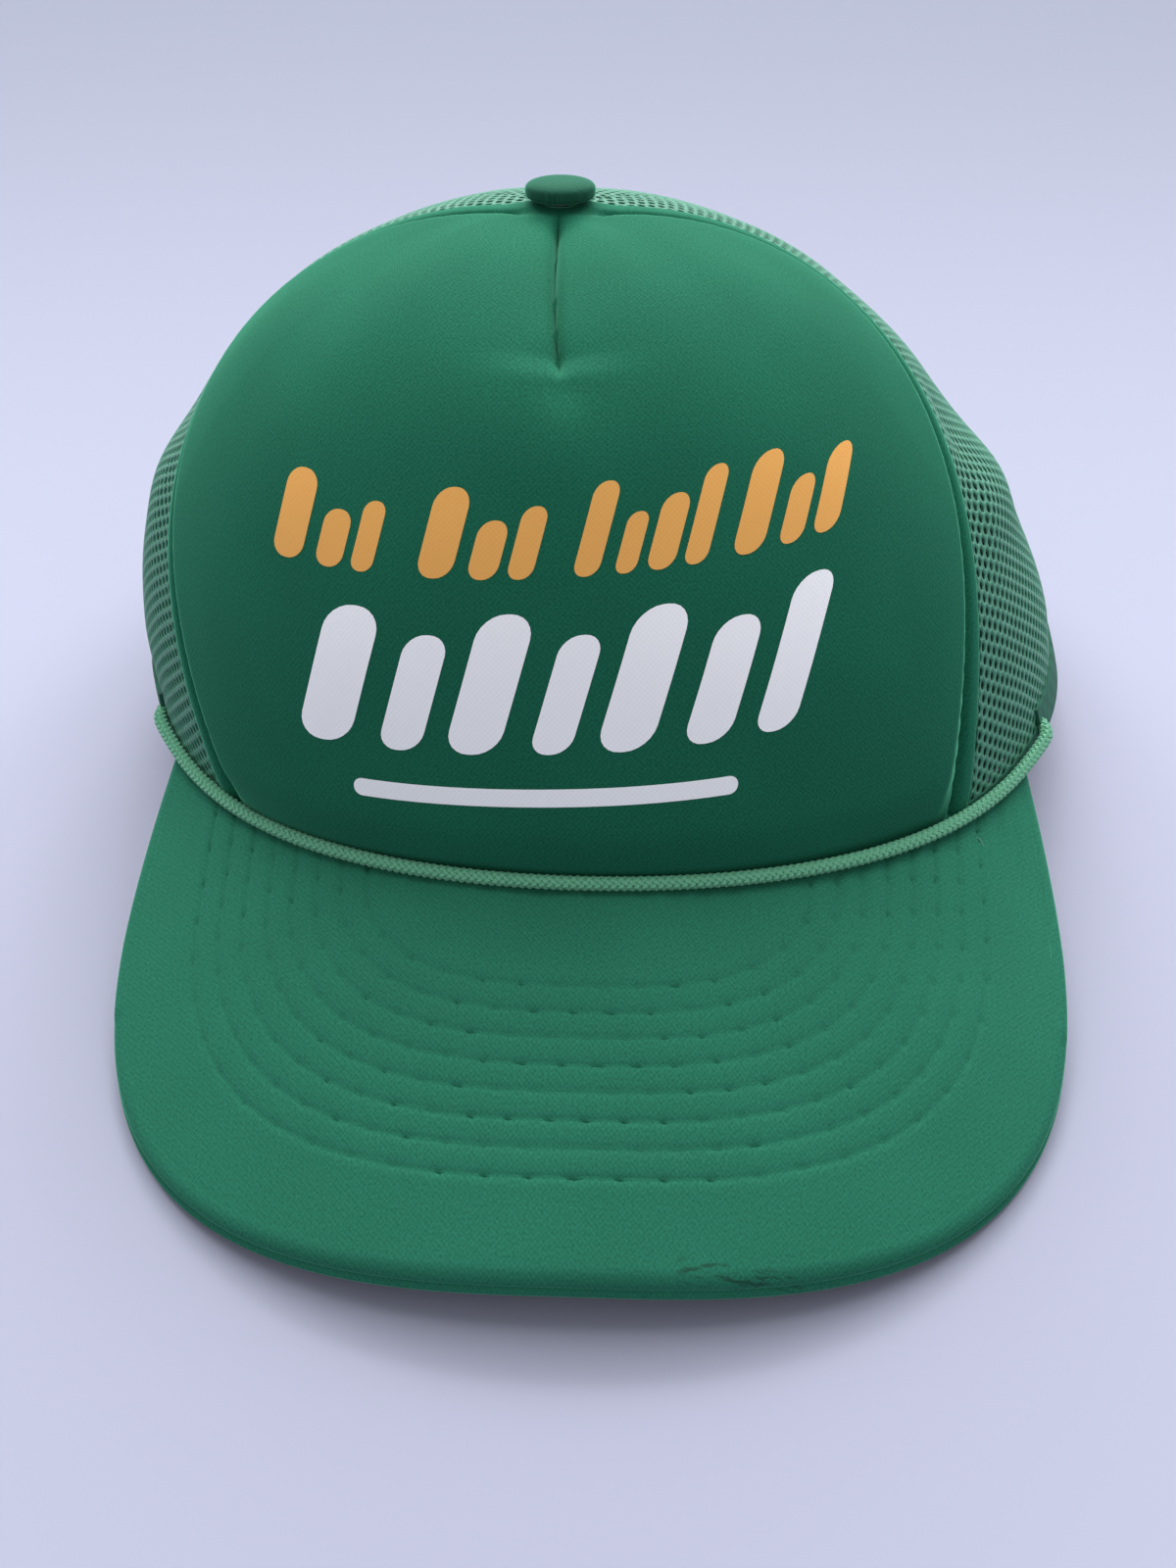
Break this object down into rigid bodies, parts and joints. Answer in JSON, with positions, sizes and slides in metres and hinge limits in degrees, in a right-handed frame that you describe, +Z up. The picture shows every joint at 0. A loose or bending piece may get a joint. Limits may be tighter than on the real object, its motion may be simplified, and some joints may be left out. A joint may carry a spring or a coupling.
{
  "type": "trucker mesh cap",
  "caption": "Five-panel trucker cap with foam front, mesh sides, stitched curved visor, braided rope and snap strap.",
  "frame": {"origin": "centre of the bounding box in plan, on the surface that the cap stands on", "axes": "+Z up, -Y towards the visor's front edge, +X to the wearer's left; the crown's own axis leans 11.15 degrees back"},
  "size_m": [0.2024, 0.2536, 0.1268],
  "materials": {
    "panel_knit": "polyester knit laminated to foam, matt with a faint sheen",
    "visor_knit": "the same knit, rolled over the visor",
    "visor_under": "plain knit, matt",
    "foam": "open-cell foam, matt",
    "mesh_net": "knitted nylon net",
    "lining_tape": "woven twill tape",
    "binding": "folded woven binding",
    "thread": "spun polyester sewing thread",
    "sweatband_cloth": "brushed cotton twill",
    "board": "moulded polyethylene sheet",
    "rope_braid": "braided polyester cord, slight gloss",
    "button_cloth": "knit stretched over a metal dome",
    "button_metal": "tinned steel",
    "strap_plastic": "moulded flexible polyethylene, satin"
  },
  "bodies": {
    "cap": {"arch_binding": "binding", "arch_facing": "lining_tape", "button_cover": "button_cloth", "button_rivet": "button_metal", "button_shell": "button_metal", "front_foam": "foam", "front_panel": "panel_knit", "hem_binding_left": "binding", "hem_binding_right": "binding", "hole_strap_tab": "strap_plastic", "peg_strap_tab": "strap_plastic", "rear_mesh_left": "mesh_net", "rear_mesh_right": "mesh_net", "rope": "rope_braid", "seam_tape_front_left": "lining_tape", "seam_tape_front_right": "lining_tape", "seam_tape_rear": "lining_tape", "seam_tape_side_left": "lining_tape", "seam_tape_side_right": "lining_tape", "side_mesh_left": "mesh_net", "side_mesh_right": "mesh_net", "strap_tack_left": "thread", "strap_tack_right": "thread", "sweatband": "sweatband_cloth", "topstitch_left": "thread", "topstitch_right": "thread", "visor_board": "board", "visor_stitching": "thread", "visor_top_cloth": "visor_knit", "visor_under_cloth": "visor_under"},
    "hole_strap_end": {"hole_strap": "strap_plastic"},
    "peg_strap_end": {"peg_strap": "strap_plastic"}
  },
  "joints": [
    {"name": "hole_strap_flex", "type": "hinge", "parent": "cap", "child": "hole_strap_end", "pos_m": [-0.0415, 0.11592, 0.01227], "axis": [0, 0, 1], "range_deg": [0, 70]},
    {"name": "peg_strap_flex", "type": "hinge", "parent": "cap", "child": "peg_strap_end", "pos_m": [0.0415, 0.11592, 0.01199], "axis": [0, 0, 1], "range_deg": [0, 28]}
  ]
}
